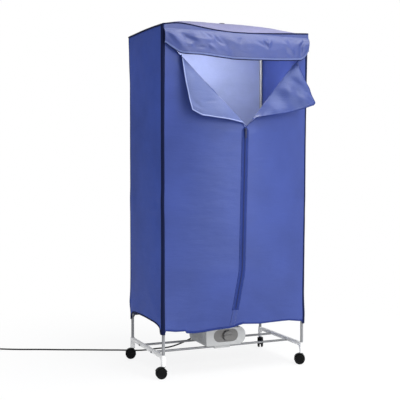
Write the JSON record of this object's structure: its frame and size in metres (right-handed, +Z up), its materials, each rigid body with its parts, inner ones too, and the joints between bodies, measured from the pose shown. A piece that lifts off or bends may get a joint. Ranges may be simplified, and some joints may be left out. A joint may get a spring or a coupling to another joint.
{
  "type": "portable clothes dryer",
  "caption": "Tube frame on twin-wheel casters with a fan heater at its foot under a tall zipped fabric cover that holds hung clothes in warm air.",
  "frame": {"origin": "on the floor, midway between the four posts", "axes": "+X to the right seen from the front, +Y to the back, +Z up"},
  "size_m": [1.3485, 1.0537, 1.517],
  "materials": {
    "white_paint": "satin powder coat",
    "grey_paint": "satin powder coat",
    "grey_plastic": "fine grain moulding",
    "screw_steel": "dull plated",
    "black_plastic": "satin moulding",
    "heater_plastic": "fine grain moulding",
    "control_plastic": "fine grain moulding",
    "fin_metal": "plain",
    "motor_metal": "plain",
    "cord_rubber": "matte",
    "pin_metal": "nickel plated",
    "blue_cloth": "plain woven, coated inside",
    "top_cloth": "plain woven, lets light through",
    "lining_cloth": "coated lining side",
    "zip_tape": "woven tape",
    "zip_metal": "enamel"
  },
  "bodies": {
    "dryer": {"left_base_rail": "white_paint", "right_base_rail": "white_paint", "front_floor_rail": "grey_paint", "rear_floor_rail": "grey_paint", "front_hanging_rail": "grey_paint", "rear_hanging_rail": "grey_paint", "left_top_hoop": "grey_paint", "right_top_hoop": "grey_paint", "front_left_lower_post": "grey_paint", "front_left_upper_post": "grey_paint", "front_right_lower_post": "grey_paint", "front_right_upper_post": "grey_paint", "rear_left_lower_post": "grey_paint", "rear_left_upper_post": "grey_paint", "rear_right_lower_post": "grey_paint", "rear_right_upper_post": "grey_paint", "leg_sockets": "grey_plastic", "post_couplers": "grey_plastic", "rail_screws": "screw_steel", "case_screws": "screw_steel", "heater_tray": "heater_plastic", "heater_case": "heater_plastic", "heater_fascia": "heater_plastic", "control_bezel": "control_plastic", "timer_unit": "black_plastic", "outlet_grille": "black_plastic", "plug_body": "black_plastic", "strain_relief": "black_plastic", "heating_core": "fin_metal", "fan_motor": "motor_metal", "power_cord": "cord_rubber", "cord_coil": "cord_rubber", "plug_pins": "pin_metal", "left_panel": "blue_cloth", "right_panel": "blue_cloth", "back_panel": "blue_cloth", "left_door": "blue_cloth", "right_door": "blue_cloth", "floor_cloth": "blue_cloth", "top_panel": "top_cloth", "zip_chain": "zip_tape"},
    "front_left_caster": {"front_left_caster_yoke": "black_plastic"},
    "front_left_inner_wheel": {"front_left_inner_wheel": "black_plastic"},
    "front_left_outer_wheel": {"front_left_outer_wheel": "black_plastic"},
    "front_right_caster": {"front_right_caster_yoke": "black_plastic"},
    "front_right_inner_wheel": {"front_right_inner_wheel": "black_plastic"},
    "front_right_outer_wheel": {"front_right_outer_wheel": "black_plastic"},
    "rear_left_caster": {"rear_left_caster_yoke": "black_plastic"},
    "rear_left_inner_wheel": {"rear_left_inner_wheel": "black_plastic"},
    "rear_left_outer_wheel": {"rear_left_outer_wheel": "black_plastic"},
    "rear_right_caster": {"rear_right_caster_yoke": "black_plastic"},
    "rear_right_inner_wheel": {"rear_right_inner_wheel": "black_plastic"},
    "rear_right_outer_wheel": {"rear_right_outer_wheel": "black_plastic"},
    "knob": {"control_knob": "control_plastic"},
    "impeller": {"fan_impeller": "black_plastic"},
    "slider": {"zip_slider": "zip_metal"},
    "pull": {"zip_pull": "zip_metal"},
    "valance": {"valance": "blue_cloth"},
    "left_flap": {"left_lapel": "lining_cloth"},
    "right_flap": {"right_lapel": "lining_cloth"}
  },
  "joints": [
    {"name": "front_left_caster_swivel", "type": "hinge", "parent": "dryer", "child": "front_left_caster", "pos_m": [-0.33, -0.2, 0.05], "axis": [0, 0, 1], "continuous": true},
    {"name": "front_left_inner_wheel_roll", "type": "hinge", "parent": "front_left_caster", "child": "front_left_inner_wheel", "pos_m": [-0.33891, -0.19875, 0.023], "axis": [0.1392, 0.9903, 0], "continuous": true},
    {"name": "front_left_outer_wheel_roll", "type": "hinge", "parent": "front_left_caster", "child": "front_left_outer_wheel", "pos_m": [-0.33891, -0.19875, 0.023], "axis": [0.1392, 0.9903, 0], "continuous": true},
    {"name": "front_right_caster_swivel", "type": "hinge", "parent": "dryer", "child": "front_right_caster", "pos_m": [0.33, -0.2, 0.05], "axis": [0, 0, 1], "continuous": true},
    {"name": "front_right_inner_wheel_roll", "type": "hinge", "parent": "front_right_caster", "child": "front_right_inner_wheel", "pos_m": [0.32205, -0.19578, 0.023], "axis": [0.4695, 0.8829, 0], "continuous": true},
    {"name": "front_right_outer_wheel_roll", "type": "hinge", "parent": "front_right_caster", "child": "front_right_outer_wheel", "pos_m": [0.32205, -0.19578, 0.023], "axis": [0.4695, 0.8829, 0], "continuous": true},
    {"name": "rear_left_caster_swivel", "type": "hinge", "parent": "dryer", "child": "rear_left_caster", "pos_m": [-0.33, 0.2, 0.05], "axis": [0, 0, 1], "continuous": true},
    {"name": "rear_left_inner_wheel_roll", "type": "hinge", "parent": "rear_left_caster", "child": "rear_left_inner_wheel", "pos_m": [-0.33856, 0.20278, 0.023], "axis": [0.309, 0.9511, 0], "continuous": true},
    {"name": "rear_left_outer_wheel_roll", "type": "hinge", "parent": "rear_left_caster", "child": "rear_left_outer_wheel", "pos_m": [-0.33856, 0.20278, 0.023], "axis": [0.309, 0.9511, 0], "continuous": true},
    {"name": "rear_right_caster_swivel", "type": "hinge", "parent": "dryer", "child": "rear_right_caster", "pos_m": [0.33, 0.2, 0.05], "axis": [0, 0, 1], "continuous": true},
    {"name": "rear_right_inner_wheel_roll", "type": "hinge", "parent": "rear_right_caster", "child": "rear_right_inner_wheel", "pos_m": [0.32605, 0.19191, 0.023], "axis": [-0.8988, 0.4384, 0], "continuous": true},
    {"name": "rear_right_outer_wheel_roll", "type": "hinge", "parent": "rear_right_caster", "child": "rear_right_outer_wheel", "pos_m": [0.32605, 0.19191, 0.023], "axis": [-0.8988, 0.4384, 0], "continuous": true},
    {"name": "timer_knob", "type": "hinge", "parent": "dryer", "child": "knob", "pos_m": [0.008, -0.105, 0.1365], "axis": [0, 1, 0], "range_deg": [0, 300]},
    {"name": "fan_spin", "type": "hinge", "parent": "dryer", "child": "impeller", "pos_m": [0.0035, 0.005, 0.13], "axis": [0, 0, 1], "continuous": true},
    {"name": "zip_slide", "type": "slide", "parent": "dryer", "child": "slider", "axis": [0, 0.0462, -0.9989], "range_m": [0, 0.58]},
    {"name": "zip_pull_swing", "type": "hinge", "parent": "slider", "child": "pull", "pos_m": [0.003, -0.29769, 1.03403], "axis": [-1, 0, 0], "range_deg": [0, 150]},
    {"name": "valance_lift", "type": "hinge", "parent": "dryer", "child": "valance", "pos_m": [0, -0.2142, 1.4456], "axis": [-1, 0, 0], "range_deg": [0, 150]},
    {"name": "left_lapel_fold", "type": "hinge", "parent": "dryer", "child": "left_flap", "pos_m": [-0.02, -0.287, 1.081], "axis": [-0.6674, 0.1861, 0.721], "range_deg": [0, 120]},
    {"name": "right_lapel_fold", "type": "hinge", "parent": "dryer", "child": "right_flap", "pos_m": [0.062, -0.279, 1.1075], "axis": [-0.6786, -0.1861, -0.7105], "range_deg": [0, 75]}
  ]
}
